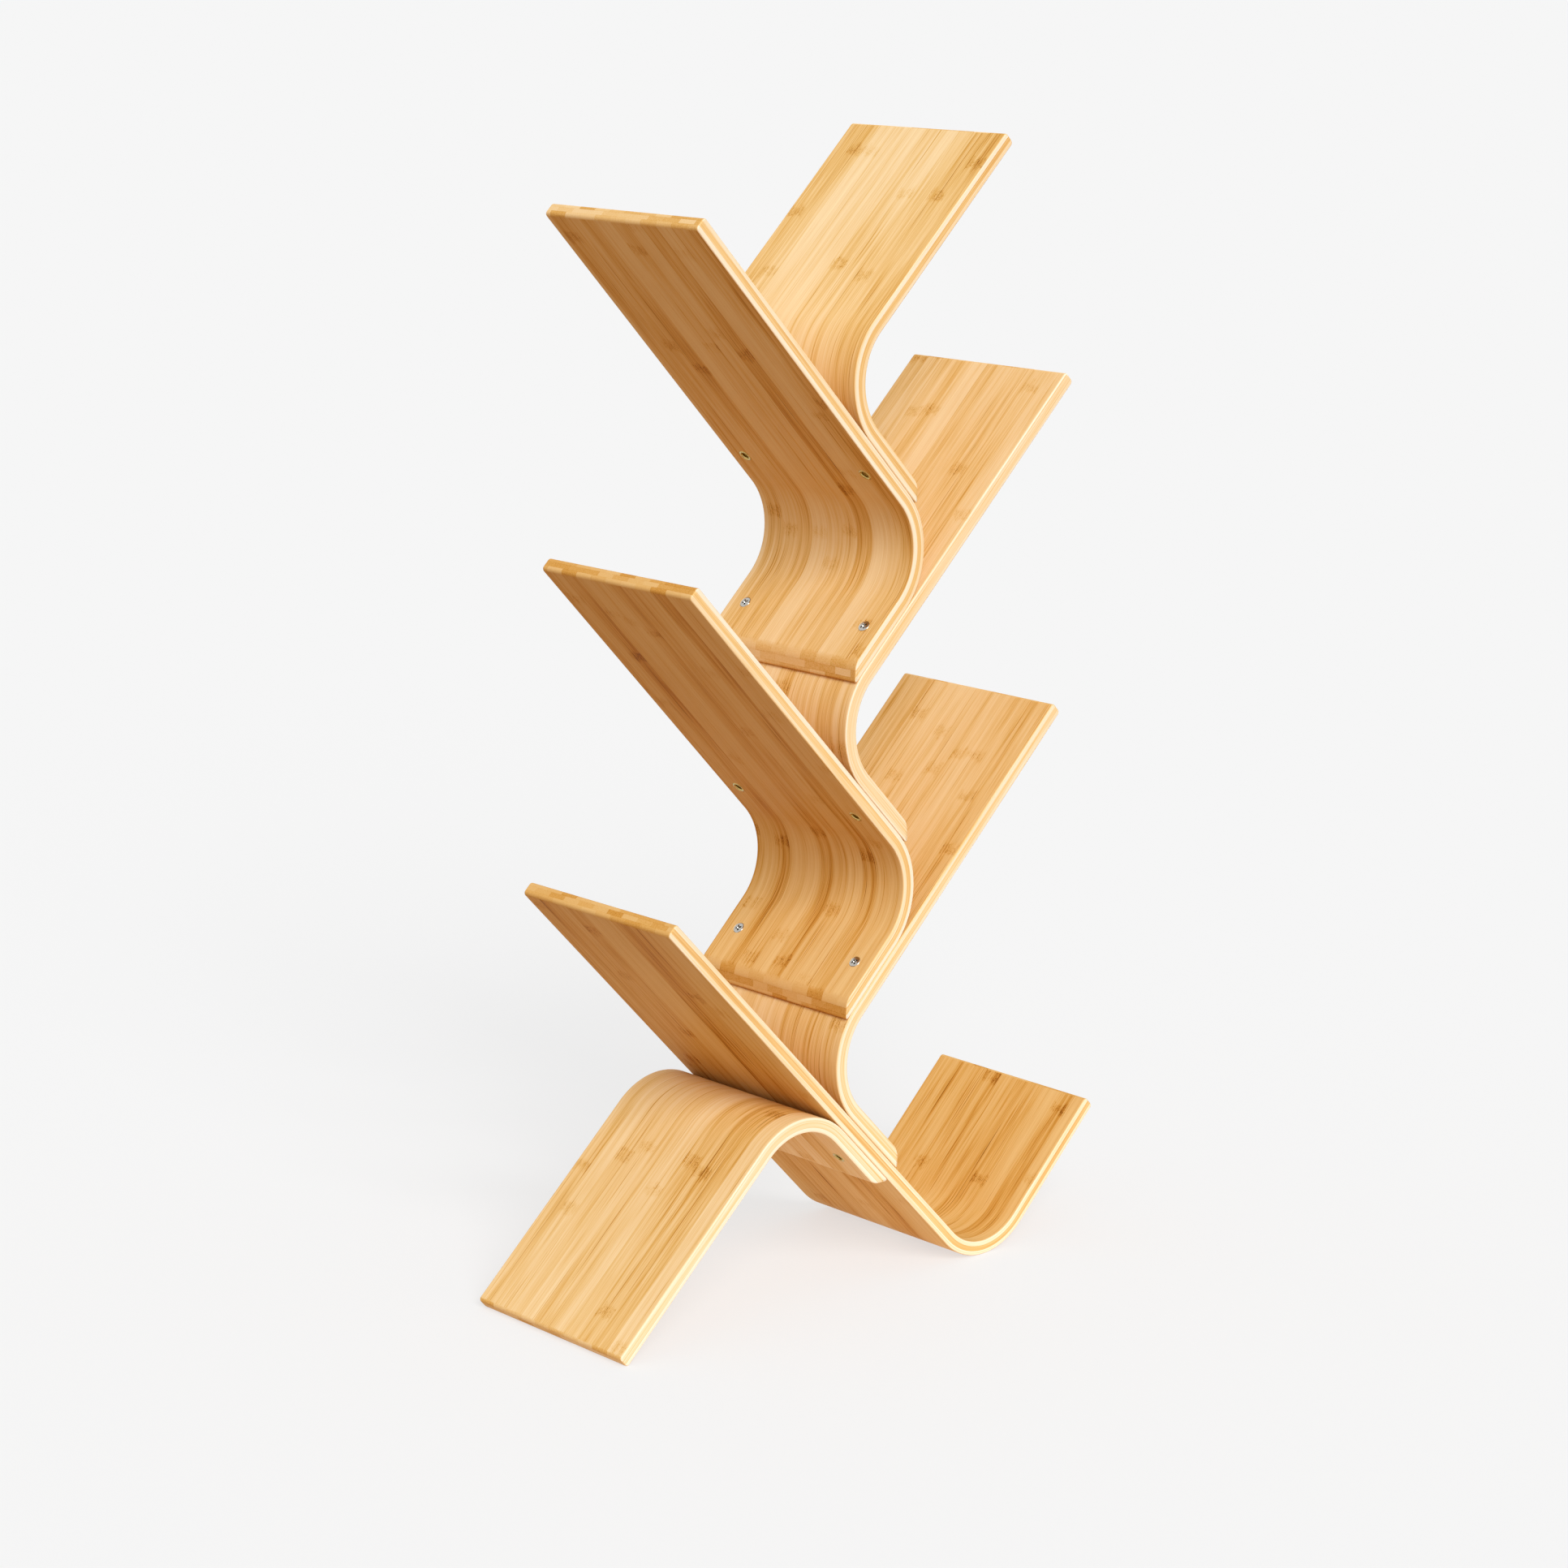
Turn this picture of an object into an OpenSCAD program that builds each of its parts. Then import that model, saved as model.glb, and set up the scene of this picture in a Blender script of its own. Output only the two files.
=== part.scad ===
// Tree-shaped bookshelf: seven bent bamboo panels, each bolted on the one below.
// Every panel is 200 deep and bent once. A short arm lies on the long arm of the panel under it,
// and two screws hold the pair. The shelf stands on the end of the foot and on the bend of the base.
// X runs across the shelf, Y is its depth with the front at -Y, Z is up, and the floor is at 0.

/* [Panels] */
// Thickness of every bamboo panel, three glued plies
panel_t = 14; // [12:0.5:16]
// Depth of the shelf, the width of every panel
shelf_depth = 200; // [170:5:250]
// Radius of the eased edges along the front and the back of a panel
edge_round = 1.5; // [0.5:0.25:3]
// Radius of the rounded corners at the end of a free arm
tip_round = 3.5; // [1:0.25:5]
// Angle between the slanted end of a bolted arm and the panel it lies on, in degrees
heel_angle = 45; // [40:1:50]
// Radius of the blunt corner at the end of a bolted arm
heel_round = 15; // [8:0.5:18]
// Radius of the sharp corner at the end of a bolted arm
heel_tip_round = 2; // [1:0.25:2.5]

/* [Bends] */
// Climb of every arm from the floor, in degrees
arm_angle = 45; // [43:0.25:47]
// Climb of the foot's long leg from the floor, in degrees
leg_angle = 43; // [41:0.25:46]
// Inside radius of the bend in the shelves and the top
shelf_bend_r = 62.5; // [56:0.5:68]
// Inside radius of the bend in the foot and the base
base_bend_r = 60; // [54:0.5:66]

/* [Arms] */
// Straight length of the long arm of the four shelves
shelf_arm = 363.5; // [300:0.5:400]
// Straight length of the long arm of the top shelf
top_arm = 231; // [180:0.5:300]
// Straight length of the short arm of the shelves and the top, which is bolted down
bolted_arm = 88; // [80:0.5:96]
// Straight length of the foot's short arm, under the base
foot_arm = 88; // [80:0.5:96]
// Straight length of the long arm of the base
base_arm = 521; // [480:0.5:560]
// Straight length of the base's toe, the arm that climbs to the right
base_toe = 141; // [110:0.5:170]

/* [Stack] */
// How far up an arm each shelf's bend sits past the bend under it
shelf_step = 71.5; // [66:0.25:78]
// How far up the base the lowest shelf's bend sits past the base's bend
lower_step = 202.5; // [195:0.5:215]
// How far up the base the foot's bend sits past the base's bend
foot_step = 204.5; // [198:0.5:215]

/* [Fasteners] */
// Distance between the two screws of a joint
bolt_spacing = 159; // [120:1:165]
// Distance of the screws from the start of the short arm, past its bend
bolt_reach = 33; // [26:0.5:45]
// Diameter of a screw's shank
screw_d = 6; // [5:0.5:6.5]
// Diameter of a screw's countersunk head
head_d = 11.5; // [10:0.25:14]
// Height of the cylindrical rim round the head
head_rim = 0.5; // [0.25:0.25:1]
// Depth of the head's top under the panel's face
head_sink = 0.3; // [0:0.1:1]
// Width of each arm of the cross-shaped driver recess
cross_w = 1.4; // [1:0.1:1.8]
// Span of the driver recess
cross_span = 6; // [4:0.25:7]
// Depth of the driver recess
cross_h = 2.2; // [1.5:0.1:3]
// Diameter of an insert nut's body
nut_d = 9.5; // [8.5:0.25:10.5]
// Length of an insert nut
nut_len = 11; // [8:0.5:12]
// Diameter of an insert nut's rim
nut_rim_d = 13; // [12:0.25:16]
// Thickness of the rim
nut_rim_h = 1.6; // [1:0.1:2]
// Width across the flats of the hexagonal drive in the rim
nut_drive_w = 7; // [6.75:0.25:8]
// Depth of the hexagonal drive
nut_drive_h = 2.6; // [1:0.1:3]
// Depth of the screw's end under the outer face of the last panel
screw_end_gap = 3.4; // [2:0.1:5]
// Gap all round a screw where it passes through a panel
screw_clear = 0.25; // [0.1:0.05:0.5]
// Gap all round a nut, a head or a thread in its seat
seat_clear = 0.05; // [0.02:0.01:0.15]

/* [Hidden] */
$fn = 64;
bamboo = "#dcae6c";
bamboo_shade = "#cf9c58";
steel = "#b9babd";
brass = "#b9a265";

PANELS = ["foot_panel", "base_panel", "lower_right_shelf", "lower_left_shelf", "upper_right_shelf",
    "upper_left_shelf", "top_shelf"];
JOINTS = ["base_joint", "lower_joint", "middle_joint", "upper_joint", "top_joint"];
SIDES = ["front", "back"];
function screw_name(j, s) = str(JOINTS[j], "_", SIDES[s], "_screw");
function nut_name(j, s) = str(JOINTS[j], "_", SIDES[s], "_nut");

// Radii to the middle of the panel's thickness
shelf_mid = shelf_bend_r + panel_t / 2;
base_mid = base_bend_r + panel_t / 2;
// Turn of each bend: two arms that both climb, or a leg and an arm that both fall
shelf_turn = 180 - 2 * arm_angle;
base_turn = 2 * arm_angle;
foot_turn = leg_angle + arm_angle;

// Directions in the X and Z plane: up along an arm, and out of its upper face
up_left = [-cos(arm_angle), sin(arm_angle)];
up_right = [cos(arm_angle), sin(arm_angle)];
face_right = [sin(arm_angle), cos(arm_angle)];
face_left = [-sin(arm_angle), cos(arm_angle)];

// Centres of the bends, as X and Z, worked up from the base's bend on the floor
base_c = [0, base_mid + panel_t / 2];
foot_c = base_c - face_right * (2 * base_mid + panel_t) + up_left * foot_step;
function is_right(i) = i % 2 == 0;
function rest_face(i) = is_right(i) ? face_right : face_left;
function rest_up(i) = is_right(i) ? up_left : up_right;
function shelf_c(i) = i == 0
    ? base_c + face_right * (panel_t + shelf_mid - base_mid) + up_left * lower_step
    : shelf_c(i - 1) + rest_face(i) * (2 * shelf_mid + panel_t) + rest_up(i) * shelf_step;
// Point between the two faces of joint i where a screw crosses them
function joint_p(i) = shelf_c(i) - rest_face(i) * (shelf_mid + panel_t / 2) - rest_up(i) * bolt_reach;

// The foot's leg is just long enough for its rounded end to touch the floor
leg_top = foot_c + [-sin(leg_angle), cos(leg_angle)] * base_mid;
leg_drop = leg_top[1] - tip_round - cos(leg_angle) * (panel_t / 2 - tip_round);
foot_leg = tip_round + leg_drop / sin(leg_angle);

// The ends of the shelf in X, which set its middle
tip_in = panel_t / 2 - tip_round;
left_x = leg_top[0] - cos(leg_angle) * (foot_leg - tip_round) - sin(leg_angle) * tip_in - tip_round;
right_x = base_c[0] + sin(arm_angle) * (base_mid + tip_in) + cos(arm_angle) * (base_toe - tip_round) + tip_round;
middle_x = (left_x + right_x) / 2;

// Sizes of the fasteners in their joint
head_cone = (head_d - screw_d) / 2;
nut_drive_d = nut_drive_w / cos(30);
// How many panels lie under the contact faces of each joint
function panels_under(j) = j == 0 ? 2 : 1;

// Outline of a free arm from its bend, with both corners of its square end rounded
module free_outline(arm_len) {
    half_t = panel_t / 2;
    translate([0, -half_t])
        square([arm_len - tip_round, panel_t]);
    translate([0, tip_round - half_t])
        square([arm_len, panel_t - 2 * tip_round]);
    for (y = [-1, 1])
        translate([arm_len - tip_round, y * (half_t - tip_round)])
            circle(tip_round);
}

// Outline of a bolted arm from its bend, with its end cut at a slant that is sharp against the panel it lies on
module bolted_outline(arm_len) {
    half_t = panel_t / 2;
    slant = [sin(heel_angle), cos(heel_angle)];
    blunt_corner = [arm_len - panel_t / tan(heel_angle), half_t];
    blunt = blunt_corner - heel_round * [tan(heel_angle / 2), 1];
    sharp = [arm_len - heel_tip_round / tan(heel_angle / 2), heel_tip_round - half_t];
    polygon([
        [0, -half_t], [sharp[0], -half_t], sharp + heel_tip_round * slant,
        blunt + heel_round * slant, [blunt[0], half_t], [0, half_t]
    ]);
    translate(sharp)
        circle(heel_tip_round);
    intersection() {
        translate(blunt)
            circle(heel_round);
        polygon([[blunt[0], half_t], blunt_corner, blunt + heel_round * slant, [blunt[0], 0]]);
    }
}

// Cross-section of a panel: thickness in X, depth in Y, with the long edges eased
module panel_section() {
    square([panel_t - 2 * edge_round, shelf_depth], center = true);
    square([panel_t, shelf_depth - 2 * edge_round], center = true);
    for (x = [-1, 1], y = [-1, 1])
        translate([x * (panel_t / 2 - edge_round), y * (shelf_depth / 2 - edge_round)])
            circle(edge_round);
}

// A straight arm that runs towards X from the end of a bend
module straight_arm(arm_len, bolted) {
    intersection() {
        rotate([90, 0, 90])
            linear_extrude(height = arm_len)
                panel_section();
        linear_extrude(height = shelf_depth, center = true) {
            if (bolted)
                bolted_outline(arm_len);
            else
                free_outline(arm_len);
        }
    }
}

// A bent panel lying on its side round the centre of its bend, with its first arm towards -X
module flat_panel(mid_r, turn, first_arm, second_arm, bolted = true) {
    rotate(-90)
        rotate_extrude(angle = turn)
            translate([mid_r, 0])
                panel_section();
    translate([0, -mid_r, 0])
        mirror([1, 0, 0])
            straight_arm(first_arm, false);
    rotate(turn)
        translate([0, -mid_r, 0])
            straight_arm(second_arm, bolted);
}

// Stands a side-lying shape up at a bend's centre, turned by its heading
module stand(centre, heading) {
    translate([centre[0] - middle_x, 0, centre[1]])
        rotate([90, 0, 0])
            rotate(heading)
                children();
}

// Puts its children on both screw axes of a joint, with Z along the screw towards its head
module on_joint(j, sides = [0, 1]) {
    p = joint_p(j);
    lean = is_right(j) ? arm_angle : -arm_angle;
    for (s = sides)
        translate([p[0] - middle_x, (s - 0.5) * bolt_spacing, p[1]])
            rotate([0, lean, 0])
                children();
}

module shelf_blank(i) {
    first_arm = i == 4 ? top_arm : shelf_arm;
    if (is_right(i))
        stand(shelf_c(i), 180 + arm_angle)
            flat_panel(shelf_mid, shelf_turn, first_arm, bolted_arm);
    else
        stand(shelf_c(i), 0)
            mirror([1, 0, 0])
                rotate(180 + arm_angle)
                    flat_panel(shelf_mid, shelf_turn, first_arm, bolted_arm);
}

// Hole for a screw's shank and its head, through the short arm of joint j
module head_hole(j) {
    on_joint(j) {
        translate([0, 0, -1])
            cylinder(d = screw_d + 2 * screw_clear, h = panel_t + 2);
        translate([0, 0, panel_t - head_sink - head_rim - head_cone - seat_clear])
            cylinder(d1 = screw_d, d2 = head_d + 2 * seat_clear, h = head_cone + seat_clear);
        translate([0, 0, panel_t - head_sink - head_rim])
            cylinder(d = head_d + 2 * seat_clear, h = head_sink + head_rim + 1);
    }
}

// Hole for a nut and the screw's end, through the last panel of joint j
module nut_hole(j) {
    floor_z = -panels_under(j) * panel_t;
    on_joint(j) {
        translate([0, 0, floor_z + nut_rim_h - 1])
            cylinder(d = screw_d + 2 * screw_clear, h = panel_t + 2 - nut_rim_h);
        translate([0, 0, floor_z - 1])
            cylinder(d = nut_d + 2 * seat_clear, h = nut_len + 1 + seat_clear);
        translate([0, 0, floor_z - 1])
            cylinder(d = nut_rim_d + 2 * seat_clear, h = nut_rim_h + 1 + seat_clear);
    }
}

module foot_panel() {
    color(bamboo_shade)
        difference() {
            stand(foot_c, 0)
                mirror([1, 0, 0])
                    rotate(180 - leg_angle)
                        flat_panel(base_mid, foot_turn, foot_leg, foot_arm);
            nut_hole(0);
        }
}

module base_panel() {
    color(bamboo)
        difference() {
            stand(base_c, -arm_angle)
                flat_panel(base_mid, base_turn, base_arm, base_toe, bolted = false);
            on_joint(0)
                translate([0, 0, -panel_t - 1])
                    cylinder(d = screw_d + 2 * screw_clear, h = panel_t + 2);
        }
}

module shelf_panel(i) {
    color(is_right(i) ? bamboo : bamboo_shade)
        difference() {
            shelf_blank(i);
            head_hole(i);
            if (i < 4)
                nut_hole(i + 1);
        }
}

module joint_screw(j, s) {
    top_z = panel_t - head_sink;
    tip_z = screw_end_gap - panels_under(j) * panel_t;
    color(steel)
        on_joint(j, [s])
            difference() {
                union() {
                    translate([0, 0, tip_z])
                        cylinder(d = screw_d, h = top_z - tip_z);
                    translate([0, 0, top_z - head_rim - head_cone])
                        cylinder(d1 = screw_d, d2 = head_d, h = head_cone);
                    translate([0, 0, top_z - head_rim])
                        cylinder(d = head_d, h = head_rim);
                }
                for (turn = [0, 90])
                    translate([0, 0, top_z])
                        rotate(45 + turn)
                            cube([cross_span, cross_w, 2 * cross_h], center = true);
            }
}

module joint_nut(j, s) {
    floor_z = -panels_under(j) * panel_t;
    color(brass)
        on_joint(j, [s])
            translate([0, 0, floor_z])
                difference() {
                    union() {
                        cylinder(d = nut_d, h = nut_len);
                        cylinder(d = nut_rim_d, h = nut_rim_h);
                    }
                    translate([0, 0, -1])
                        cylinder(d = screw_d + 2 * seat_clear, h = nut_len + 2);
                    translate([0, 0, -1])
                        cylinder(d = nut_drive_d, h = nut_drive_h + 1, $fn = 6);
                }
}

foot_panel();
base_panel();
shelf_panel(0);  // lower_right_shelf
shelf_panel(1);  // lower_left_shelf
shelf_panel(2);  // upper_right_shelf
shelf_panel(3);  // upper_left_shelf
shelf_panel(4);  // top_shelf
for (j = [0 : len(JOINTS) - 1], s = [0, 1]) {
    joint_screw(j, s);
    joint_nut(j, s);
}
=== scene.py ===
import math

import bpy
from mathutils import Matrix, Quaternion, Vector


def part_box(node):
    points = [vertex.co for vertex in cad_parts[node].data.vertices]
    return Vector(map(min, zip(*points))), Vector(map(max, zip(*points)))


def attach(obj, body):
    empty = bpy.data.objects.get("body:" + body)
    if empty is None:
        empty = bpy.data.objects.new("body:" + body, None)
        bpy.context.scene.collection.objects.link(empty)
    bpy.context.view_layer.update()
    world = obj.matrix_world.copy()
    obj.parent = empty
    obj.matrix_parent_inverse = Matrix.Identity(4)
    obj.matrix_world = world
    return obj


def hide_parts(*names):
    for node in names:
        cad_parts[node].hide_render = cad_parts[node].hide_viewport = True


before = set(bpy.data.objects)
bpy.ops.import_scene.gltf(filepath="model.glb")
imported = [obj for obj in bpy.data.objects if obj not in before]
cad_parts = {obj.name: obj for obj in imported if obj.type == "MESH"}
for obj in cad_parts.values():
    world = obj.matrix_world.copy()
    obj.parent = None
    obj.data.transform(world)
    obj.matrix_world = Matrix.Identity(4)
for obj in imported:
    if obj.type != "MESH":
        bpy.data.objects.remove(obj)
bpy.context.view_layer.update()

# Base panel
# The lowest board: three plies of bamboo strips glued flat, then bent to a right angle in a hot press,
# sanded and lacquered. Its bend stands on the floor, and its toe turns up to the right.
MM = 0.001
QUARTER = math.pi / 2
BOARD_T = 14 * MM
BOARD_DEPTH = 200 * MM
EASED_R = 1.5 * MM
TIP_R = 3.5 * MM
ARM_CLIMB = math.radians(45)
BASE_BEND_R = 60 * MM
BASE_ARM = 521 * MM
BASE_TOE = 141 * MM
LOWER_STEP = 202.5 * MM
BOLT_REACH = 33 * MM
BOLT_SPACING = 159 * MM
SHANK_HOLE_R = 3.25 * MM
OVERSHOOT = 1 * MM
NEAR = 0.01 * MM
SHARP_EDGE = math.radians(32)


def pick(piece, kind, wanted):
    """Leaves a piece in edit mode with only the faces or edges selected whose corners wanted() accepts."""
    bpy.context.view_layer.objects.active = piece
    bpy.ops.object.mode_set(mode="EDIT")
    bpy.ops.mesh.select_mode(type=kind)
    bpy.ops.mesh.select_all(action="DESELECT")
    bpy.ops.object.mode_set(mode="OBJECT")
    corners = piece.data.vertices
    for part in piece.data.polygons if kind == "FACE" else piece.data.edges:
        part.select = wanted([corners[i].co for i in part.vertices])
    bpy.ops.object.mode_set(mode="EDIT")


def grow(offset):
    """Extrudes the selected face by an offset."""
    bpy.ops.mesh.extrude_region_move(TRANSFORM_OT_translate={"value": offset})


def close_up(piece):
    """Points every face outwards and goes back to object mode."""
    bpy.ops.mesh.select_all(action="SELECT")
    bpy.ops.mesh.remove_doubles(threshold=NEAR / 10)
    bpy.ops.mesh.normals_make_consistent(inside=False)
    bpy.ops.object.mode_set(mode="OBJECT")


def all_at(corners, axis, value):
    """True where every corner lies at that value of an axis."""
    return all(abs(corner[axis] - value) < NEAR for corner in corners)


def flat_board(name, bend_len, first_arm, second_arm, second_slant=QUARTER, second_rounds=(TIP_R, TIP_R)):
    """A straight board along X, thick in Y and deep in Z, with cuts across it where it will bend.

    The second arm's end meets the convex face at its slant. Its two rounds are the radii of its corners
    on the concave face and on the convex one.
    """
    bend_step = 3 * MM
    tip_facets, eased_facets = 8, 4
    bpy.ops.object.select_all(action="DESELECT")
    bpy.ops.mesh.primitive_plane_add(size=1, rotation=(0, QUARTER, 0))
    board = bpy.context.object
    board.name = name
    board.scale = (BOARD_DEPTH, BOARD_T, 1)
    bpy.ops.object.transform_apply()
    pick(board, "FACE", lambda corners: True)
    grow((-first_arm, 0, 0))
    pick(board, "FACE", lambda corners: all_at(corners, 0, 0))
    steps = round(bend_len / bend_step)
    for _ in range(steps):
        grow((bend_len / steps, 0, 0))
    grow((second_arm, 0, 0))
    end_x = bend_len + second_arm
    short_x = end_x - BOARD_T / math.tan(second_slant)
    pick(board, "EDGE", lambda corners: all_at(corners, 0, end_x) and all_at(corners, 1, BOARD_T / 2))
    bpy.ops.transform.translate(value=(short_x - end_x, 0, 0))
    bpy.ops.object.mode_set(mode="OBJECT")

    blunt_r, sharp_r = second_rounds
    half = second_slant / 2
    end_edges = (
        (-first_arm, BOARD_T / 2, TIP_R), (-first_arm, -BOARD_T / 2, TIP_R),
        (short_x, BOARD_T / 2, blunt_r * math.tan(half)), (end_x, -BOARD_T / 2, sharp_r / math.tan(half)))
    for edge_x, edge_y, offset in end_edges:
        pick(board, "EDGE", lambda corners: all_at(corners, 0, edge_x) and all_at(corners, 1, edge_y))
        bpy.ops.mesh.bevel(offset=offset, segments=tip_facets, affect="EDGES", clamp_overlap=False)

    def on_a_rim(corners):
        on_side = all_at(corners, 2, BOARD_DEPTH / 2) or all_at(corners, 2, -BOARD_DEPTH / 2)
        cut_line = abs(corners[0].y - corners[1].y) > BOARD_T - NEAR and 0 <= corners[0].x <= bend_len
        return on_side and not cut_line

    pick(board, "EDGE", on_a_rim)
    bpy.ops.mesh.bevel(offset=EASED_R, segments=eased_facets, affect="EDGES", clamp_overlap=False)
    close_up(board)
    return board


def turned(name, rings, sides=48):
    """A turned solid on the Z axis, grown ring by ring from (radius, height) pairs."""
    (radius, height), *others = rings
    bpy.ops.object.select_all(action="DESELECT")
    bpy.ops.mesh.primitive_circle_add(vertices=sides, radius=radius, fill_type="NGON",
                                      location=(0, 0, height))
    piece = bpy.context.object
    piece.name = name
    bpy.ops.object.transform_apply()
    pick(piece, "FACE", lambda corners: True)
    for next_radius, next_height in others:
        grow((0, 0, next_height - height))
        share = next_radius / radius
        bpy.ops.transform.resize(value=(share, share, 1), center_override=(0, 0, next_height))
        radius, height = next_radius, next_height
    close_up(piece)
    return piece


def cut_out(piece, cutter):
    """Cuts one solid out of another and throws the cutter away."""
    modifier = piece.modifiers.new("cut", "BOOLEAN")
    modifier.operation = "DIFFERENCE"
    modifier.solver = "EXACT"
    modifier.object = cutter
    bpy.context.view_layer.objects.active = piece
    bpy.ops.object.modifier_apply(modifier="cut")
    bpy.data.objects.remove(cutter)


def drill(board, along, rings):
    """Drills a stepped well at both screws of a joint, with its heights counted from the convex face."""
    for side in (-1, 1):
        bit = turned("bit", rings)
        place = Matrix.Translation((along, -BOARD_T / 2, side * BOLT_SPACING / 2))
        bit.matrix_world = place @ Matrix.Rotation(-QUARTER, 4, "X")
        bpy.context.view_layer.update()
        cut_out(board, bit)


def lay_strips(board, number, golden_and_shade):
    """Notes each point's place in the flat board, how each face cuts the fibres, and how golden the board is,
    which is partly its batch's tone and partly painted shade.
    """
    board_shift = 1.3
    mesh = board.data
    batch = mesh.attributes.new("golden_and_shade", "FLOAT", "POINT")
    for point in batch.data:
        point.value = golden_and_shade
    grain = mesh.attributes.new("grain", "FLOAT_VECTOR", "POINT")
    for vertex in mesh.vertices:
        x, y, z = vertex.co
        grain.data[vertex.index].vector = (x, z + number * board_shift, y)
    cut = mesh.attributes.new("cut", "FLOAT_VECTOR", "CORNER")
    for face in mesh.polygons:
        across = (abs(face.normal.x), abs(face.normal.z), abs(face.normal.y))
        for corner in face.loop_indices:
            cut.data[corner].vector = across


def press(board, turn, mid_r):
    """Bends the flat board round a former that is centred on the origin, with its concave face towards +Y."""
    lengthwise = [vertex.co.x for vertex in board.data.vertices]
    start, length = min(lengthwise), max(lengthwise) - min(lengthwise)
    modifier = board.modifiers.new("press", "SIMPLE_DEFORM")
    modifier.deform_method = "BEND"
    modifier.deform_axis = "Z"
    modifier.angle = turn
    modifier.limits = (-start / length, (mid_r * turn - start) / length)
    bpy.context.view_layer.objects.active = board
    bpy.ops.object.modifier_apply(modifier="press")
    board.data.transform(Matrix.Translation((0, -mid_r, 0)))


def stand(board, centre, heading, mirrored=False):
    """Stands a bent board up at its bend's centre, turned by its heading, and smooths its rounded edges."""
    mirror = Matrix.Diagonal((-1 if mirrored else 1, 1, 1, 1))
    upright = Matrix.Rotation(QUARTER, 4, "X")
    board.data.transform(Matrix.Translation(centre) @ upright @ mirror @ Matrix.Rotation(heading, 4, "Z"))
    pick(board, "FACE", lambda corners: True)
    close_up(board)
    smooth(board)


def smooth(piece):
    """Shades rounded edges smooth and keeps flat faces flat."""
    bpy.ops.object.select_all(action="DESELECT")
    piece.select_set(True)
    bpy.context.view_layer.objects.active = piece
    bpy.ops.object.shade_smooth_by_angle(angle=SHARP_EDGE)
    modifier = piece.modifiers.new("weights", "WEIGHTED_NORMAL")
    modifier.keep_sharp = True
    bpy.ops.object.modifier_apply(modifier="weights")


def linear(hex_colour, alpha=1.0):
    """An sRGB hex colour as linear numbers."""
    parts = [int(hex_colour[i:i + 2], 16) / 255 for i in (1, 3, 5)]
    return [p / 12.92 if p <= 0.04045 else ((p + 0.055) / 1.055) ** 2.4 for p in parts] + [alpha]


def add_node(tree, kind, inputs=None, **settings):
    """Adds a shader node with its settings. Each input takes a value, a node's first output or a socket."""
    made = tree.nodes.new("ShaderNode" + kind)
    for name, value in settings.items():
        setattr(made, name, value)
    for key, value in (inputs or {}).items():
        if isinstance(key, int):
            socket = made.inputs[key]
        else:
            socket = next(s for s in made.inputs if s.identifier == key)
        if isinstance(value, bpy.types.Node):
            value = next(s for s in value.outputs if s.enabled)
        if isinstance(value, bpy.types.NodeSocket):
            tree.links.new(value, socket)
        else:
            socket.default_value = value
    return made


# Flat-pressed bamboo, sanded and lacquered: strips 20 mm wide, whose tone changes from strip to strip, with
# fine fibres along them and a speckled knuckle about every 230 mm. The lacquer is rubbed down until only a
# faint sheen is left. All sizes are in mm, and a grain is its length along the fibres and its width across
# them. Real fibres are about 0.4 mm wide, and are drawn a little coarser so that they show.
PLIES = 3
MIDDLE_PLY = 1.0
# A little under 1, so that a board's faces still fall in its outer plies
WITHIN_BOARD = 0.99
STRIP_W = 20.0
PLY_OFFSET = 6.7
FIBRE_GRAIN = (60, 0.65)
BAND_GRAIN = (170, 30)
STREAK_GRAIN = (260, 5)
LINE_GRAIN = (140, 1.5)
SAWN_GRAIN = (120, 1.3)
END_GRAIN = (1.2, 1.2)
KNUCKLE_EVERY = 230.0
KNUCKLE_CORE = 3.0
KNUCKLE_REACH = 9.0
KNUCKLE_SWAY = 22.0
KNUCKLES_MISSING = 0.15
SWAY_GRAIN = (12, 7)
SPECKLE_GRAIN = (2.4, 1.1)
# How much the rubbed lacquer mirrors, where a full gloss is 0.5
LACQUER_SHINE = 0.02
bamboo = bpy.data.materials.new("flat_pressed_bamboo")
bamboo.use_nodes = True
tree = bamboo.node_tree
tree.nodes.clear()


def bamboo_node(kind, inputs=None, **settings):
    return add_node(tree, kind, inputs, **settings)


def bamboo_math(operation, *values):
    return add_node(tree, "Math", dict(enumerate(values)), operation=operation)


def stretched(grain_size, detail, distortion=0.0):
    """Noise drawn out along the fibres by its grain, with its value less 0.5."""
    length, width = grain_size
    per_grain = (1 / length, 1 / width, 1 / width)
    scaled = bamboo_node("VectorMath", {0: in_mm, 1: per_grain}, operation="MULTIPLY")
    noise = bamboo_node("TexNoise", {"Vector": scaled, "Scale": 1.0, "Detail": detail,
                                     "Distortion": distortion})
    return bamboo_math("SUBTRACT", noise, 0.5)


def darker(tone, share, amount):
    """Adds a share of a pattern to the tone, which runs from 0 for pale to 1 for dark."""
    return bamboo_math("MULTIPLY_ADD", share, amount, tone)


def blend(share, under, over):
    return bamboo_node("Mix", {"Factor_Float": share, "A_Color": under, "B_Color": over}, data_type="RGBA")


grain = bamboo_node("Attribute", attribute_name="grain")
in_mm = bamboo_node("VectorMath", {0: grain.outputs["Vector"], "Scale": 1 / MM}, operation="SCALE")
where = bamboo_node("SeparateXYZ", {0: in_mm})
along, across, through = where.outputs
cut = bamboo_node("SeparateXYZ", {0: bamboo_node("Attribute", attribute_name="cut").outputs["Vector"]})
end_share = bamboo_node("MapRange", {"Value": cut.outputs[0], "From Min": 0.1, "From Max": 0.4})
side_share = bamboo_node("MapRange", {"Value": cut.outputs[1], "From Min": 0.3, "From Max": 0.9})

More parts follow.
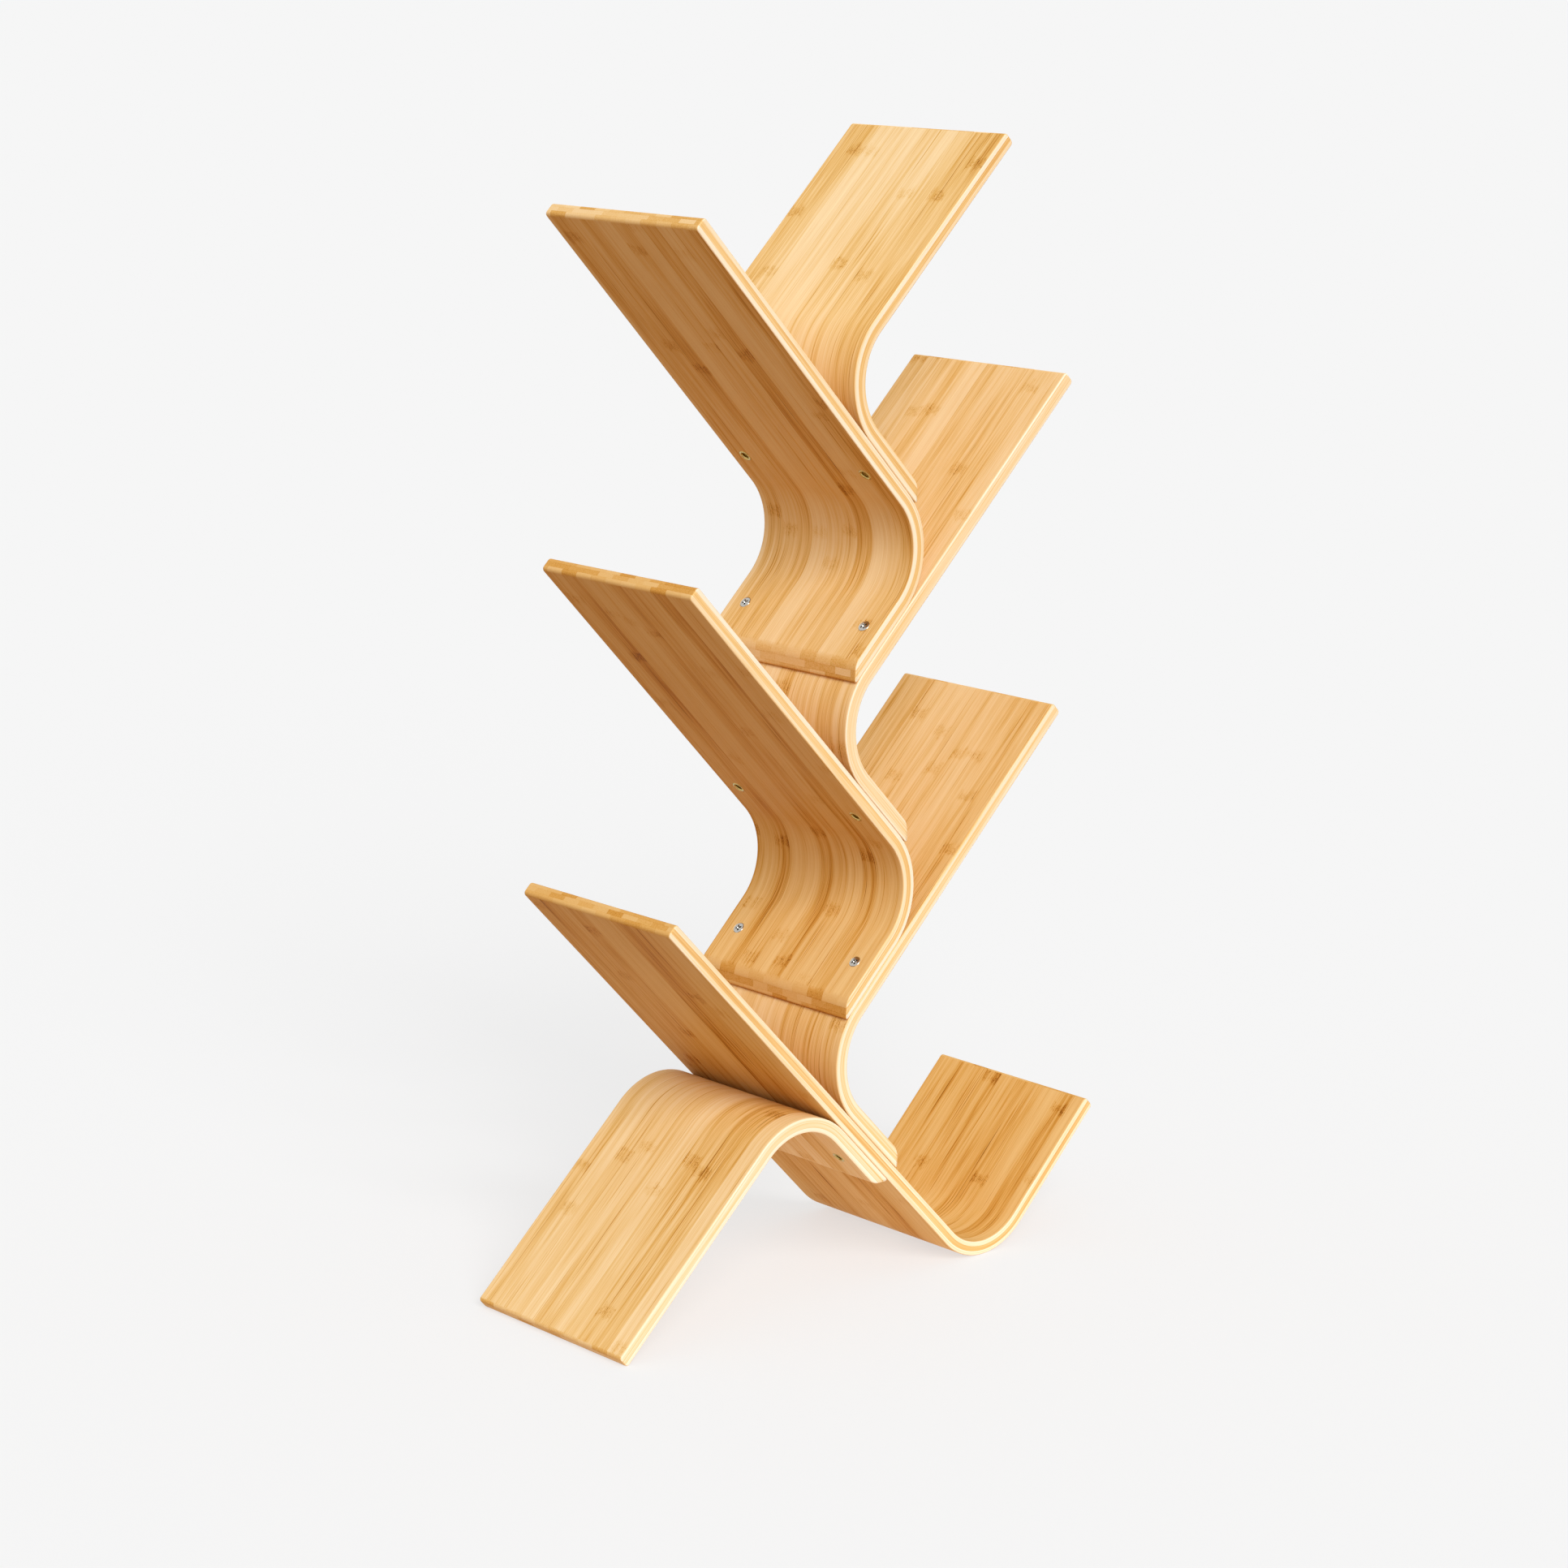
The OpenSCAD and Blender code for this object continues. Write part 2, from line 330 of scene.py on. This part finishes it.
ply_place = bamboo_math("MULTIPLY_ADD", through, WITHIN_BOARD * PLIES * MM / BOARD_T, PLIES / 2)
ply = bamboo_math("FLOOR", ply_place)
strip_place = bamboo_math("DIVIDE", bamboo_math("MULTIPLY_ADD", ply, PLY_OFFSET, across), STRIP_W)
strip = bamboo_math("FLOOR", strip_place)
strip_id = bamboo_node("CombineXYZ", {0: strip, 1: ply, 2: 0.5})
strip_noise = bamboo_node("TexWhiteNoise", {"Vector": strip_id}, noise_dimensions="3D")
luck_a, luck_b, luck_c = bamboo_node("SeparateColor", {0: strip_noise.outputs["Color"]}).outputs

# The figure of the wood: fine fibres, wide bands and streaks along the strips, with a few thin dark lines
fibres = stretched(FIBRE_GRAIN, 3.0)
figure = bamboo_math("MULTIPLY", fibres, 0.9)
figure = darker(figure, stretched(BAND_GRAIN, 2.0), 0.45)
figure = darker(figure, stretched(STREAK_GRAIN, 1.0), 0.55)
lines = bamboo_node("MapRange", {"Value": stretched(LINE_GRAIN, 1.0), "From Min": 0.16, "From Max": 0.24})
figure = darker(figure, lines, 0.26)

# Knuckles: a speckled patch across the strip, where the culm had a joint
strip_start = bamboo_math("MULTIPLY", luck_c, 7.0)
knuckle_place = bamboo_math("ADD", bamboo_math("DIVIDE", along, KNUCKLE_EVERY), strip_start)
knuckle_id = bamboo_node("CombineXYZ", {0: strip, 1: ply, 2: bamboo_math("FLOOR", knuckle_place)})
knuckle_noise = bamboo_node("TexWhiteNoise", {"Vector": knuckle_id}, noise_dimensions="3D")
place_luck, there_luck, _ = bamboo_node("SeparateColor", {0: knuckle_noise.outputs["Color"]}).outputs
knuckle_at = bamboo_math("MULTIPLY_ADD", place_luck, 0.6, 0.2)
knuckle_off = bamboo_math("SUBTRACT", bamboo_math("FRACT", knuckle_place), knuckle_at)
knuckle_off = bamboo_math("MULTIPLY", knuckle_off, KNUCKLE_EVERY)
knuckle_off = bamboo_math("MULTIPLY_ADD", stretched(SWAY_GRAIN, 2.0), KNUCKLE_SWAY, knuckle_off)
patch = bamboo_node("MapRange", {
    "Value": bamboo_math("ABSOLUTE", knuckle_off), "From Min": KNUCKLE_CORE, "From Max": KNUCKLE_REACH,
    "To Min": 1.0, "To Max": 0.0}, interpolation_type="SMOOTHSTEP")
patch = bamboo_math("MULTIPLY", patch, bamboo_math("GREATER_THAN", there_luck, KNUCKLES_MISSING))
speckle = bamboo_node("MapRange", {"Value": stretched(SPECKLE_GRAIN, 2.0, 1.5), "From Min": 0.03,
                                   "From Max": 0.12})
knuckle = bamboo_math("MULTIPLY", patch, bamboo_math("MULTIPLY_ADD", speckle, 0.75, 0.25))
figure = darker(figure, knuckle, 0.28)

# Each strip has its own tone and a few are darker. A board's golden value makes its whole colour darker and
# warmer and its figure stronger: partly the tone of its batch of culms, partly painted shade for the boards
# whose faces stand in shade.
golden_and_shade = bamboo_node("Attribute", attribute_name="golden_and_shade").outputs["Fac"]
tone = bamboo_math("MULTIPLY_ADD", luck_a, 0.36, 0.19)
dark_strip = bamboo_node("MapRange", {"Value": luck_b, "From Min": 0.7, "From Max": 1.0})
tone = darker(tone, dark_strip, 0.14)
tone = darker(tone, figure, bamboo_math("MULTIPLY_ADD", golden_and_shade, 0.3, 1.0))

# Cut ends show each strip as a block of its own tone, with a thin glue line round it
block_tone = bamboo_math("MULTIPLY_ADD", luck_b, 0.46, 0.2)
block_tone = darker(block_tone, stretched(END_GRAIN, 1.0), 0.4)
tone = bamboo_node("Mix", {"Factor_Float": end_share, "A_Float": tone, "B_Float": block_tone},
                   data_type="FLOAT")
ply_glue = bamboo_node("MapRange", {"Value": bamboo_math("PINGPONG", ply_place, 0.5), "From Min": 0.02,
                                    "From Max": 0.06, "To Min": 1.0, "To Max": 0.0})
strip_glue = bamboo_node("MapRange", {"Value": bamboo_math("PINGPONG", strip_place, 0.5), "From Min": 0.004,
                                      "From Max": 0.02, "To Min": 1.0, "To Max": 0.0})
tone = darker(tone, bamboo_math("MULTIPLY", ply_glue, end_share), 0.1)
tone = darker(tone, strip_glue, 0.1)

# The sawn and sanded sides show two creamy outer plies on a golden middle one, with fine lines. They are
# paler than the faces, partly as painted light from the front.
side_tone = bamboo_math("MULTIPLY_ADD", luck_c, 0.34, 0.1)
side_tone = darker(side_tone, bamboo_math("COMPARE", ply, MIDDLE_PLY, 0.5), 0.32)
side_tone = darker(side_tone, stretched(SAWN_GRAIN, 2.0), 0.9)
side_tone = darker(side_tone, ply_glue, 0.2)


# Colours from the palest tone to the darkest, for the faces and for the sawn sides, whose paler colours are
# partly painted light
FACE_TONES = ((0.0, "#fde1b2"), (0.22, "#f8d8a6"), (0.44, "#f2cb8d"), (0.64, "#e4b263"), (0.82, "#c78836"),
              (1.0, "#8d561d"))
SIDE_TONES_AND_LIGHT = ((0.0, "#fff4e0"), (0.3, "#fce9c8"), (0.6, "#f3cd8c"), (1.0, "#d99c4c"))
# The tint that a board's golden value multiplies in: partly its batch's tone, partly painted shade
GOLDEN_SHADE_TINT = "#efdebc"


def toned(tone, stops):
    """Colours a tone by its stops, from pale to dark."""
    ramp = bamboo_node("ValToRGB", {0: tone})
    bar = ramp.color_ramp.elements
    for place, _ in stops[1:-1]:
        bar.new(place)
    for element, (place, hex_colour) in zip(bar, stops):
        element.position, element.color = place, linear(hex_colour)
    return ramp


# Golden boards are tinted darker and warmer all over, partly as painted shade
face_colour = bamboo_node("Mix", {
    "Factor_Float": golden_and_shade, "A_Color": toned(tone, FACE_TONES), "B_Color": linear(GOLDEN_SHADE_TINT)},
    data_type="RGBA", blend_type="MULTIPLY")
colour = blend(side_share, face_colour, toned(side_tone, SIDE_TONES_AND_LIGHT))

# The rubbed lacquer sinks into the pores between the fibres and over the knuckles
sheen = bamboo_node("MapRange", {"Value": fibres, "From Min": -0.3, "From Max": 0.3, "To Min": 0.4,
                                 "To Max": 0.52})
relief = bamboo_math("SUBTRACT", fibres, bamboo_math("MULTIPLY", knuckle, 0.5))
pores = bamboo_node("Bump", {"Strength": 0.3, "Distance": 0.15 * MM, "Height": relief})
shader = bamboo_node("BsdfPrincipled", {
    "Base Color": colour, "Specular IOR Level": LACQUER_SHINE, "Roughness": sheen, "Normal": pores})
bamboo_node("OutputMaterial", {"Surface": shader})


def hand_over(piece, material, node):
    """Gives a finished piece its material, and lets it stand for its node."""
    piece.data.materials.clear()
    piece.data.materials.append(material)
    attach(piece, "root")
    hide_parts(node)


base_mid = BASE_BEND_R + BOARD_T / 2
base_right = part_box("base_panel")[1].x
tip_in = BOARD_T / 2 - TIP_R
base_centre = Vector((
    base_right - math.sin(ARM_CLIMB) * (base_mid + tip_in) - math.cos(ARM_CLIMB) * (BASE_TOE - TIP_R) - TIP_R,
    0, base_mid + BOARD_T / 2))
through_hole = ((SHANK_HOLE_R, -OVERSHOOT), (SHANK_HOLE_R, BOARD_T + OVERSHOOT))

base = flat_board("bamboo_base", base_mid * QUARTER, BASE_ARM, BASE_TOE)
drill(base, BOLT_REACH - LOWER_STEP, through_hole)
# The base is fully golden: partly its batch's tone, partly painted shade for its face under the foot's arch
lay_strips(base, 14, 1.0)
press(base, QUARTER, base_mid)
stand(base, base_centre, -ARM_CLIMB)
hand_over(base, bamboo, "base_panel")

# Foot panel
# The board that props the shelf on the left: the same bamboo, bent a little less than square. Its short
# arm, cut to a slant at its end, is clamped under the base by the two longest screws, and its long leg
# ends on the floor.
LEG_CLIMB = math.radians(43)
FOOT_ARM = 88 * MM
FOOT_STEP = 204.5 * MM
HEEL_SLANT = math.radians(45)
HEEL_ROUNDS = (15 * MM, 2 * MM)
NUT_HOLE_R = 4.8 * MM
NUT_RIM_HOLE_R = 6.55 * MM
NUT_LEN = 11 * MM
NUT_RIM_T = 1.6 * MM

up_left = Vector((-math.cos(ARM_CLIMB), 0, math.sin(ARM_CLIMB)))
up_right = Vector((math.cos(ARM_CLIMB), 0, math.sin(ARM_CLIMB)))
face_right = Vector((math.sin(ARM_CLIMB), 0, math.cos(ARM_CLIMB)))
face_left = Vector((-math.sin(ARM_CLIMB), 0, math.cos(ARM_CLIMB)))
foot_centre = base_centre - face_right * (2 * base_mid + BOARD_T) + up_left * FOOT_STEP
foot_turn = LEG_CLIMB + ARM_CLIMB
leg_top_z = foot_centre.z + math.cos(LEG_CLIMB) * base_mid
foot_leg = TIP_R + (leg_top_z - TIP_R - math.cos(LEG_CLIMB) * tip_in) / math.sin(LEG_CLIMB)
nut_well = (
    (SHANK_HOLE_R, -OVERSHOOT), (SHANK_HOLE_R, BOARD_T - NUT_LEN), (NUT_HOLE_R, BOARD_T - NUT_LEN),
    (NUT_HOLE_R, BOARD_T - NUT_RIM_T), (NUT_RIM_HOLE_R, BOARD_T - NUT_RIM_T),
    (NUT_RIM_HOLE_R, BOARD_T + OVERSHOOT))

foot = flat_board("bamboo_foot", base_mid * foot_turn, foot_leg, FOOT_ARM, HEEL_SLANT, HEEL_ROUNDS)
drill(foot, base_mid * foot_turn + BOLT_REACH - LOWER_STEP + FOOT_STEP, nut_well)
# The foot is a little golden: partly its batch's tone, partly painted shade
lay_strips(foot, 1, 0.25)
press(foot, foot_turn, base_mid)
stand(foot, foot_centre, math.pi - LEG_CLIMB, mirrored=True)
hand_over(foot, bamboo, "foot_panel")

# Shelves
# Five boards bent to a right angle, each clamped by its short arm on the long arm below, in turn to the
# right and to the left. The holes are drilled before the boards are pressed, from the concave face.
SHELF_BEND_R = 62.5 * MM
SHELF_ARM = 363.5 * MM
TOP_ARM = 231 * MM
BOLTED_ARM = 88 * MM
SHELF_STEP = 71.5 * MM
HEAD_R = 5.75 * MM
HEAD_SINK = 0.3 * MM
HEAD_RIM = 0.5 * MM
SEAT_GAP = 0.05 * MM
shelf_mid = SHELF_BEND_R + BOARD_T / 2
shelf_bend = shelf_mid * QUARTER
head_floor = BOARD_T - HEAD_SINK - HEAD_RIM
head_well = (
    (SHANK_HOLE_R, -OVERSHOOT), (SHANK_HOLE_R, head_floor - HEAD_R + SHANK_HOLE_R),
    (HEAD_R + SEAT_GAP, head_floor), (HEAD_R + SEAT_GAP, BOARD_T - HEAD_SINK / 2),
    (HEAD_R + HEAD_SINK, BOARD_T), (HEAD_R + HEAD_SINK, BOARD_T + OVERSHOOT))

# Where each board's strips come from in the batch, and how golden they are: partly their batch's tone, partly
# painted shade for the boards whose faces stand in shade, the lower left one most
BATCH_AND_SHADE = {"lower_right_shelf": (2, 0.4), "lower_left_shelf": (3, 0.9), "upper_right_shelf": (4, 0.1),
           "upper_left_shelf": (10, 0.3), "top_shelf": (12, 0.0)}

shelf_centre = base_centre + face_right * (BOARD_T + shelf_mid - base_mid) + up_left * LOWER_STEP
joints = []
for level, (node, (number, golden_and_shade)) in enumerate(BATCH_AND_SHADE.items()):
    to_right = level % 2 == 0
    rest_face, rest_up = (face_right, up_left) if to_right else (face_left, up_right)
    if level:
        shelf_centre = shelf_centre + rest_face * (2 * shelf_mid + BOARD_T) + rest_up * SHELF_STEP
    joints.append((shelf_centre - rest_face * (shelf_mid + BOARD_T / 2) - rest_up * BOLT_REACH,
                   ARM_CLIMB if to_right else -ARM_CLIMB))
    is_top = node == "top_shelf"
    long_arm = TOP_ARM if is_top else SHELF_ARM
    shelf = flat_board("bamboo_" + node, shelf_bend, long_arm, BOLTED_ARM, HEEL_SLANT, HEEL_ROUNDS)
    drill(shelf, shelf_bend + BOLT_REACH, head_well)
    if not is_top:
        drill(shelf, BOLT_REACH - SHELF_STEP, nut_well)
    lay_strips(shelf, number, golden_and_shade)
    press(shelf, QUARTER, shelf_mid)
    stand(shelf, shelf_centre, math.pi + ARM_CLIMB, mirrored=not to_right)
    hand_over(shelf, bamboo, node)

# Screws
# Two countersunk cross-head screws clamp each joint, driven from the short arm's concave face: turned and
# rolled steel with bright nickel plating. Those of the lowest joint also go through the base.
SCREW_R = 3 * MM
SCREW_END_GAP = 3.4 * MM
THREAD_PITCH = 1 * MM
THREAD_DEEP = 0.45 * MM
THREAD_LEN = 12 * MM
FIRST_CREST = 0.9 * MM
POINT_IN = 0.5 * MM
POINT_LEN = 0.4 * MM
PIT_R = 2.3 * MM
PIT_DEEP = 2.2 * MM
PIT_MOUTH = 0.4 * MM
JOINT_NAMES = ("base_joint", "lower_joint", "middle_joint", "upper_joint", "top_joint")
# Rings of the domed head, in mm: how far in from its edge, and how high over its rim
DOME = ((0.1, -0.2), (0.4, 0.15), (0.9, 0.4), (2, 0.65))
DOME_TOP_R = 0.5 * MM
DOME_HIGH = 0.8 * MM

# Nickel-plated steel, tumbled bright: a warm grey mirror, a little dulled in patches 0.8 mm wide
RUB_GRAIN = 0.8 * MM
nickel = bpy.data.materials.new("nickel_plated_steel")
nickel.use_nodes = True
tree = nickel.node_tree
tree.nodes.clear()
spot = add_node(tree, "TexCoord").outputs["Object"]
rub = add_node(tree, "TexNoise", {"Vector": spot, "Scale": 1 / RUB_GRAIN, "Detail": 3.0})
plating = add_node(tree, "BsdfPrincipled", {
    "Base Color": linear("#c4c0b9"), "Metallic": 1.0,
    "Roughness": add_node(tree, "MapRange", {"Value": rub, "To Min": 0.08, "To Max": 0.26}),
    "Normal": add_node(tree, "Bump", {"Strength": 0.12, "Distance": 0.02 * MM, "Height": rub})})
add_node(tree, "OutputMaterial", {"Surface": plating})


def cross_blade(turn, top):
    """A tapered blade of the cross-shaped driver bit, point down in the head."""
    blade_len, blade_w, blade_deep = 9 * MM, 2.2 * MM, 2.7 * MM
    point_share = (0.4, 0.5, 1)
    bpy.ops.object.select_all(action="DESELECT")
    bpy.ops.mesh.primitive_cube_add(size=1)
    blade = bpy.context.object
    blade.scale = (blade_len, blade_w, 2 * blade_deep)
    bpy.ops.object.transform_apply()
    pick(blade, "FACE", lambda corners: all_at(corners, 2, -blade_deep))
    bpy.ops.transform.resize(value=point_share, center_override=(0, 0, -blade_deep))
    close_up(blade)
    blade.matrix_world = Matrix.Translation((0, 0, top)) @ Matrix.Rotation(turn, 4, "Z")
    bpy.context.view_layer.update()
    return blade


def screw(name, boards_under, turn):
    """A screw on the Z axis, with height 0 between the two faces that it clamps first."""
    top = BOARD_T - HEAD_SINK
    tip = SCREW_END_GAP - boards_under * BOARD_T
    core_r = SCREW_R - THREAD_DEEP
    rings = [(core_r - POINT_IN, tip), (core_r, tip + POINT_LEN)]
    for turn_number in range(round(THREAD_LEN / THREAD_PITCH)):
        crest = tip + FIRST_CREST + turn_number * THREAD_PITCH
        rings += [(SCREW_R, crest), (core_r, crest + THREAD_PITCH / 2)]
    rings += [
        (SCREW_R, rings[-1][1] + THREAD_PITCH), (SCREW_R, top - HEAD_RIM - HEAD_R + SCREW_R),
        (HEAD_R, top - HEAD_RIM)]
    rings += [(HEAD_R - inset * MM, top + rise * MM) for inset, rise in DOME]
    rings += [(DOME_TOP_R, top + DOME_HIGH)]
    made = turned(name, rings)
    for blade_turn in (0, QUARTER):
        cut_out(made, cross_blade(turn + blade_turn, top))
    cut_out(made, turned("pit", ((DOME_TOP_R, top - PIT_DEEP), (PIT_R, top + PIT_MOUTH)), sides=32))
    return made


for joint, (contact, lean) in enumerate(joints):
    for side, side_name in ((-1, "front"), (1, "back")):
        fixing = screw(f"cross_head_{JOINT_NAMES[joint]}_{side_name}", 2 if joint == 0 else 1,
                       math.radians(31 + 47 * joint + 38 * side))
        place = contact + Vector((0, side * BOLT_SPACING / 2, 0))
        fixing.data.transform(Matrix.Translation(place) @ Matrix.Rotation(lean, 4, "Y"))
        smooth(fixing)
        hand_over(fixing, nickel, f"{JOINT_NAMES[joint]}_{side_name}_screw")

# Insert nuts
# A flanged insert nut is screwed into the last board of each joint from its concave face, with a coarse
# thread that grips the bamboo and a hexagonal drive. It is cast in zinc alloy with yellow plating.
NUT_R = 4.75 * MM
NUT_RIM_R = 6.5 * MM
NUT_GRIP = 0.6 * MM
NUT_GRIP_PITCH = 2.2 * MM
NUT_RIDGES = 4
FIRST_RIDGE = 0.3 * MM
RIDGE_RISE = 0.8 * MM
RIDGE_END = 1.1 * MM
HEX_WIDTH = 7 * MM
HEX_DEEP = 2.6 * MM
BORE_R = 3.05 * MM
# Rings of the rounded lip, in mm: radius and height over the flange's face
LIP = ((4.2, 0.7), (4.4, 0.1), (4.8, -0.3), (5.3, -0.45), (5.9, -0.35), (6.3, 0.0))
LIP_EDGE = 0.5 * MM

# Zinc, die-cast and then yellow-plated in a barrel: a dull brassy mirror, clouded in patches 1.2 mm wide
CAST_GRAIN = 1.2 * MM
brass = bpy.data.materials.new("yellow_plated_zinc")
brass.use_nodes = True
tree = brass.node_tree
tree.nodes.clear()
spot = add_node(tree, "TexCoord").outputs["Object"]
cast = add_node(tree, "TexNoise", {"Vector": spot, "Scale": 1 / CAST_GRAIN, "Detail": 3.0})
tint = add_node(tree, "Mix", {
    "Factor_Float": cast, "A_Color": linear("#dcc078"), "B_Color": linear("#a88d4c")}, data_type="RGBA")
plating = add_node(tree, "BsdfPrincipled", {
    "Base Color": tint, "Metallic": 1.0,
    "Roughness": add_node(tree, "MapRange", {"Value": cast, "To Min": 0.18, "To Max": 0.38}),
    "Normal": add_node(tree, "Bump", {"Strength": 0.2, "Distance": 0.03 * MM, "Height": cast})})
add_node(tree, "OutputMaterial", {"Surface": plating})


def insert_nut(name, turn):
    """A nut on the Z axis, with its flange's face at height 0 and its body above it."""
    rings = [(lip_r * MM, lip_z * MM) for lip_r, lip_z in LIP]
    rings += [(NUT_RIM_R, LIP_EDGE), (NUT_RIM_R, NUT_RIM_T), (NUT_R - NUT_GRIP, NUT_RIM_T)]
    for ridge in range(NUT_RIDGES):
        foot_z = NUT_RIM_T + FIRST_RIDGE + ridge * NUT_GRIP_PITCH
        rings += [(NUT_R - NUT_GRIP, foot_z), (NUT_R, foot_z + RIDGE_RISE), (NUT_R, foot_z + RIDGE_END)]
    rings += [(NUT_R - NUT_GRIP, NUT_LEN)]
    nut = turned(name, rings)
    hex_r = HEX_WIDTH / math.sqrt(3)
    cut_out(nut, turned("hex_drive", ((hex_r, -OVERSHOOT), (hex_r, HEX_DEEP)), sides=6))
    cut_out(nut, turned("bore", ((BORE_R, HEX_DEEP - OVERSHOOT), (BORE_R, NUT_LEN + OVERSHOOT))))
    nut.data.transform(Matrix.Rotation(turn, 4, "Z"))
    return nut


for joint, (contact, lean) in enumerate(joints):
    for side, side_name in ((-1, "front"), (1, "back")):
        nut = insert_nut(f"flanged_nut_{JOINT_NAMES[joint]}_{side_name}",
                         math.radians(17 * joint + 24 * side))
        place = contact + Vector((0, side * BOLT_SPACING / 2, 0))
        outer_face = Matrix.Translation((0, 0, -(2 if joint == 0 else 1) * BOARD_T))
        nut.data.transform(Matrix.Translation(place) @ Matrix.Rotation(lean, 4, "Y") @ outer_face)
        smooth(nut)
        hand_over(nut, brass, f"{JOINT_NAMES[joint]}_{side_name}_nut")

# Studio
# A pale seamless floor under a soft sky, with one large soft light from the front left, high up. The object
# stands near the middle of a white sheet, and the floor round it, in the colour of a wooden floor, sends back
# less light, and warmer. The floor also glows: painted light that keeps the object's shadow on it faint and
# lights the object from below even where the floor lies in the object's shadow.
STUDIO_WHITE = "#f6f6f6"
SHEET_WHITE = "#f3e3d6"
WOODEN_FLOOR = "#ac8452"
FLOOR_SIZE = 800.0
SHEET_MIDDLE = (0.22, -0.08, 0)
SHEET_R = 0.45
WOOD_FROM_R = 0.75
# Shares of the floor's glow, which is painted light: for the eye and in metal, and for the light it throws on
# the object
GLOW_SEEN = 0.68
GLOW_ON_OBJECT = 0.35
LOW_SKY = 0.5
HIGH_SKY = 0.63
KEY_STRENGTH = 0.78 * math.pi
KEY_ANGLE = math.radians(34)
TOWARDS_KEY = Vector((-0.35, -0.75, 0.56))
bpy.ops.object.select_all(action="DESELECT")
bpy.ops.mesh.primitive_plane_add(size=FLOOR_SIZE)
floor = bpy.context.object
floor.name = "studio_floor"


def looked_at(tree):
    """1 for the rays that show the studio to the eye or in metal, and 0 for those that light the object."""
    rays = add_node(tree, "LightPath")
    seen = add_node(tree, "Math", {0: rays.outputs["Is Camera Ray"], 1: rays.outputs["Is Glossy Ray"]},
                    operation="MAXIMUM")
    return add_node(tree, "Math", {0: seen, 1: rays.outputs["Is Transmission Ray"]}, operation="MAXIMUM")


paper = bpy.data.materials.new("studio_paper")
paper.use_nodes = True
tree = paper.node_tree
tree.nodes.clear()
from_middle = add_node(tree, "VectorMath", {0: add_node(tree, "TexCoord").outputs["Object"], 1: SHEET_MIDDLE},
                       operation="DISTANCE")
off_sheet = add_node(tree, "MapRange", {"Value": from_middle.outputs["Value"], "From Min": SHEET_R,
                                        "From Max": WOOD_FROM_R})
ground = add_node(tree, "Mix", {
    "Factor_Float": off_sheet, "A_Color": linear(SHEET_WHITE), "B_Color": linear(WOODEN_FLOOR)},
    data_type="RGBA")
sheet = add_node(tree, "Mix", {
    "Factor_Float": looked_at(tree), "A_Color": ground, "B_Color": linear(STUDIO_WHITE)}, data_type="RGBA")
lit = add_node(tree, "BsdfDiffuse", {"Color": sheet})
# Painted light: the floor glows as well as reflecting, also where the object's shadow falls on it
glow = add_node(tree, "Emission", {"Color": sheet, "Strength": 1.0})
glow_share = add_node(tree, "MapRange", {"Value": looked_at(tree), "To Min": GLOW_ON_OBJECT,
                                         "To Max": GLOW_SEEN})
add_node(tree, "OutputMaterial", {"Surface": add_node(tree, "MixShader", {0: glow_share, 1: lit, 2: glow})})
floor.data.materials.append(paper)

sky = bpy.data.worlds.new("studio_sky")
sky.use_nodes = True
tree = sky.node_tree
tree.nodes.clear()
height = add_node(tree, "SeparateXYZ", {0: add_node(tree, "TexCoord").outputs["Generated"]}).outputs[2]
soft_sky = add_node(tree, "MapRange", {"Value": height, "From Min": 0.3, "From Max": 0.5,
                                       "To Min": LOW_SKY, "To Max": HIGH_SKY})
strength = add_node(tree, "Mix", {"Factor_Float": looked_at(tree), "A_Float": soft_sky, "B_Float": 1.0},
                    data_type="FLOAT")
backdrop = add_node(tree, "Background", {"Color": linear(STUDIO_WHITE), "Strength": strength})
add_node(tree, "OutputWorld", {"Surface": backdrop})
bpy.context.scene.world = sky

bpy.ops.object.light_add(type="SUN", location=(-2, -3, 3))
lamp = bpy.context.object
lamp.name = "soft_key"
lamp.data.energy = KEY_STRENGTH
lamp.data.angle = KEY_ANGLE
lamp.rotation_euler = TOWARDS_KEY.to_track_quat("Z", "Y").to_euler()

# Camera
# The eye of the reference photograph: low, from the front left, with a long lens.
AZIMUTH = math.radians(-43.803)
ELEVATION = math.radians(12.508)
ROLL = math.radians(1.314)
EYE = (-2.39128, -2.46312, 1.23544)
LENS = 85.926
SENSOR_W = 36
bpy.ops.object.camera_add(location=EYE)
camera = bpy.context.object
camera.name = "photo_camera"
camera.data.lens = LENS
camera.data.sensor_width = SENSOR_W
towards_eye = Vector((math.sin(AZIMUTH) * math.cos(ELEVATION), -math.cos(AZIMUTH) * math.cos(ELEVATION),
                      math.sin(ELEVATION)))
aim = towards_eye.to_track_quat("Z", "Y") @ Quaternion((0, 0, 1), ROLL)
camera.rotation_euler = aim.to_euler()
bpy.context.scene.camera = camera
bpy.context.scene.view_settings.view_transform = "Standard"
